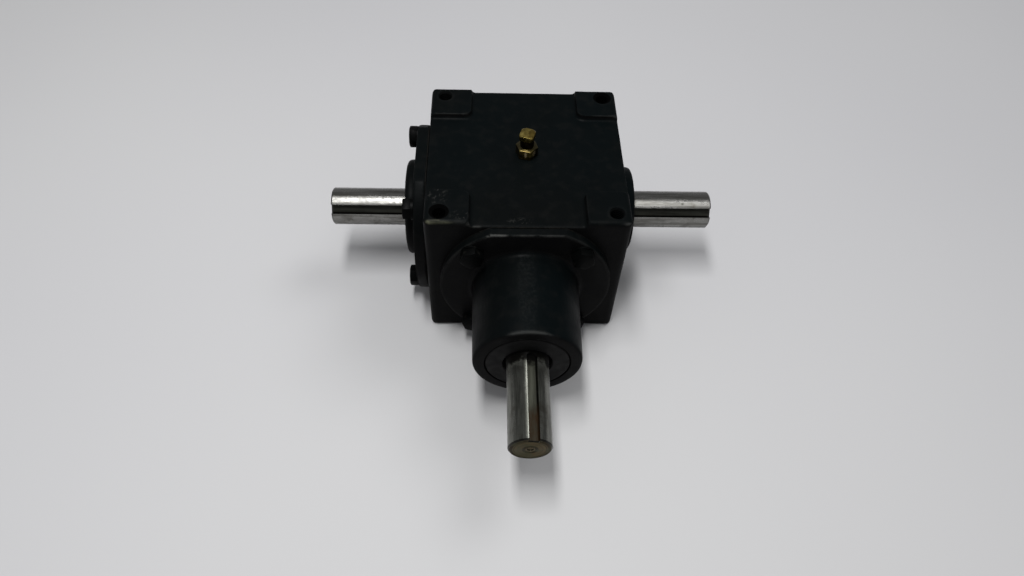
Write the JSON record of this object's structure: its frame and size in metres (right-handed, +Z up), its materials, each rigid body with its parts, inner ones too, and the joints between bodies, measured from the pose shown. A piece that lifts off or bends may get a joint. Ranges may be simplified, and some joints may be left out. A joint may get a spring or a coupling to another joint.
{
  "type": "right-angle bevel gearbox",
  "caption": "Three-way right-angle bevel gearbox: cast square housing, flanged quill with keyed input shaft, and a keyed through shaft in a bolted bearing cap.",
  "frame": {"origin": "on the mounting plane of the four bottom pads, at the centre of their hole pattern, straight under the point where the two shaft axes cross", "axes": "+Z up through the breather, +X along the cross shaft towards the cast boss, -Y along the input shaft out of the quill"},
  "size_m": [0.261, 0.2464, 0.1205],
  "materials": {
    "black_paint": "black enamel over cast iron, satin, worn to metal on the pad edges",
    "gasket_fibre": "compressed fibre gasket",
    "painted_fasteners": "steel painted over with the casting",
    "seal_rubber": "moulded nitrile rubber",
    "spring_steel": "drawn wire",
    "brass": "turned yellow brass",
    "painted_plugs": "steel painted over with the casting",
    "bearing_steel": "ground and honed bearing steel",
    "cage_steel": "pressed sheet steel",
    "ground_shaft_steel": "turned and polished, with faint lengthwise marks and a rust stain in the input keyseat",
    "gear_steel": "cut and hardened steel, oiled",
    "machined_steel": "machined",
    "blackened_steel": "black oxide"
  },
  "bodies": {
    "gearcase": {"housing": "black_paint", "left_cap": "black_paint", "cap_gasket": "gasket_fibre", "cap_screws": "painted_fasteners", "cap_washers": "painted_fasteners", "quill": "black_paint", "quill_gasket": "gasket_fibre", "quill_screws": "painted_fasteners", "quill_washers": "painted_fasteners", "left_seal": "seal_rubber", "right_seal": "seal_rubber", "input_seal": "seal_rubber", "left_seal_spring": "spring_steel", "right_seal_spring": "spring_steel", "input_seal_spring": "spring_steel", "breather_body": "brass", "breather_cap": "brass", "level_plug": "painted_plugs", "drain_plug": "painted_plugs", "left_cup": "bearing_steel", "right_cup": "bearing_steel", "quill_inner_cup": "bearing_steel", "quill_outer_cup": "bearing_steel"},
    "cross_shaft_set": {"cross_shaft": "ground_shaft_steel", "bevel_gear": "gear_steel", "gear_key": "machined_steel", "gear_spacer": "machined_steel", "left_cone": "bearing_steel", "right_cone": "bearing_steel"},
    "input_shaft_set": {"input_shaft": "ground_shaft_steel", "bevel_pinion": "gear_steel", "pinion_key": "machined_steel", "pinion_retaining_ring": "blackened_steel", "quill_inner_cone": "bearing_steel", "bearing_spacer": "machined_steel", "quill_outer_cone": "bearing_steel", "lock_washer": "blackened_steel", "bearing_locknut": "blackened_steel"},
    "left_cage_set": {"left_rollers": "bearing_steel", "left_cage": "cage_steel"},
    "right_cage_set": {"right_rollers": "bearing_steel", "right_cage": "cage_steel"},
    "quill_inner_cage_set": {"quill_inner_rollers": "bearing_steel", "quill_inner_cage": "cage_steel"},
    "quill_outer_cage_set": {"quill_outer_rollers": "bearing_steel", "quill_outer_cage": "cage_steel"}
  },
  "joints": [
    {"name": "cross_shaft_spin", "type": "hinge", "parent": "gearcase", "child": "cross_shaft_set", "pos_m": [0, 0, 0.0535], "axis": [1, 0, 0], "continuous": true},
    {"name": "input_shaft_spin", "type": "hinge", "parent": "gearcase", "child": "input_shaft_set", "pos_m": [0, 0, 0.0535], "axis": [0, 1, 0], "continuous": true},
    {"name": "left_cage_orbit", "type": "hinge", "parent": "gearcase", "child": "left_cage_set", "pos_m": [0, 0, 0.0535], "axis": [1, 0, 0], "continuous": true},
    {"name": "right_cage_orbit", "type": "hinge", "parent": "gearcase", "child": "right_cage_set", "pos_m": [0, 0, 0.0535], "axis": [1, 0, 0], "continuous": true},
    {"name": "quill_inner_cage_orbit", "type": "hinge", "parent": "gearcase", "child": "quill_inner_cage_set", "pos_m": [0, 0, 0.0535], "axis": [0, 1, 0], "continuous": true},
    {"name": "quill_outer_cage_orbit", "type": "hinge", "parent": "gearcase", "child": "quill_outer_cage_set", "pos_m": [0, 0, 0.0535], "axis": [0, 1, 0], "continuous": true}
  ],
  "couplings": [
    {"joint": "input_shaft_spin", "follows": "cross_shaft_spin", "ratio": 1},
    {"joint": "left_cage_orbit", "follows": "cross_shaft_spin", "ratio": 0.4205},
    {"joint": "right_cage_orbit", "follows": "cross_shaft_spin", "ratio": 0.4205},
    {"joint": "quill_inner_cage_orbit", "follows": "cross_shaft_spin", "ratio": 0.4205},
    {"joint": "quill_outer_cage_orbit", "follows": "cross_shaft_spin", "ratio": 0.4205}
  ]
}
